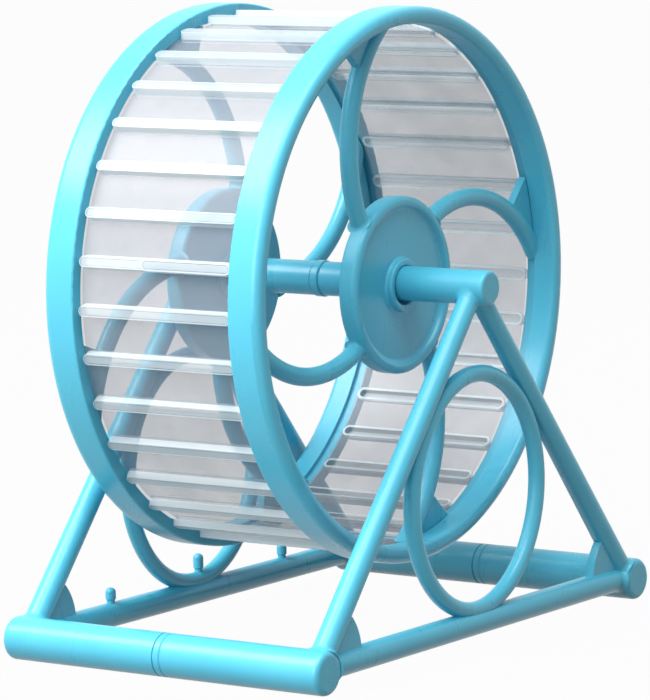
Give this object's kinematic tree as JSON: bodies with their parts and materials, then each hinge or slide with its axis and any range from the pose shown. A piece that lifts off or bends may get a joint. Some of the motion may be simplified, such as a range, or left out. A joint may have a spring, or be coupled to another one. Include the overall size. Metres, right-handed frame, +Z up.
{
  "type": "rodent exercise wheel",
  "caption": "Rodent exercise wheel with a ribbed clear running track between open sides with curved spokes, hung on an axle between two A-shaped side frames.",
  "frame": {"origin": "on the floor, at the middle of the stand: midway between the two feet and midway along them", "axes": "+Z up, +Y along the axle and the feet towards the frame with the three pegs, +X from the front foot to the rear foot"},
  "size_m": [0.1388, 0.0864, 0.1424],
  "materials": {
    "stand_plastic": "gloss",
    "wheel_plastic": "gloss",
    "strip_plastic": "frosted"
  },
  "bodies": {
    "stand": {"plain_side_front_foot": "stand_plastic", "plain_side_rear_foot": "stand_plastic", "plain_side_axle": "stand_plastic", "plain_side_rail": "stand_plastic", "plain_side_front_leg": "stand_plastic", "plain_side_rear_leg": "stand_plastic", "plain_side_ring": "stand_plastic", "plain_side_front_gusset": "stand_plastic", "plain_side_rear_gusset": "stand_plastic", "peg_side_front_foot": "stand_plastic", "peg_side_rear_foot": "stand_plastic", "peg_side_axle": "stand_plastic", "peg_side_rail": "stand_plastic", "peg_side_front_leg": "stand_plastic", "peg_side_rear_leg": "stand_plastic", "peg_side_ring": "stand_plastic", "peg_side_front_gusset": "stand_plastic", "peg_side_rear_gusset": "stand_plastic", "peg_side_front_peg": "stand_plastic", "peg_side_middle_peg": "stand_plastic", "peg_side_rear_peg": "stand_plastic"},
    "wheel": {"track_strip": "strip_plastic", "wheel_plain_side_rim": "wheel_plastic", "wheel_plain_side_hub": "wheel_plastic", "wheel_plain_side_spoke_1": "wheel_plastic", "wheel_plain_side_spoke_2": "wheel_plastic", "wheel_plain_side_spoke_3": "wheel_plastic", "wheel_plain_side_spoke_4": "wheel_plastic", "wheel_peg_side_rim": "wheel_plastic", "wheel_peg_side_hub": "wheel_plastic", "wheel_peg_side_spoke_1": "wheel_plastic", "wheel_peg_side_spoke_2": "wheel_plastic", "wheel_peg_side_spoke_3": "wheel_plastic", "wheel_peg_side_spoke_4": "wheel_plastic"}
  },
  "joints": [
    {"name": "wheel_spin", "type": "hinge", "parent": "stand", "child": "wheel", "pos_m": [0, 0.0049, 0.07993], "axis": [0, 1, 0], "continuous": true}
  ]
}
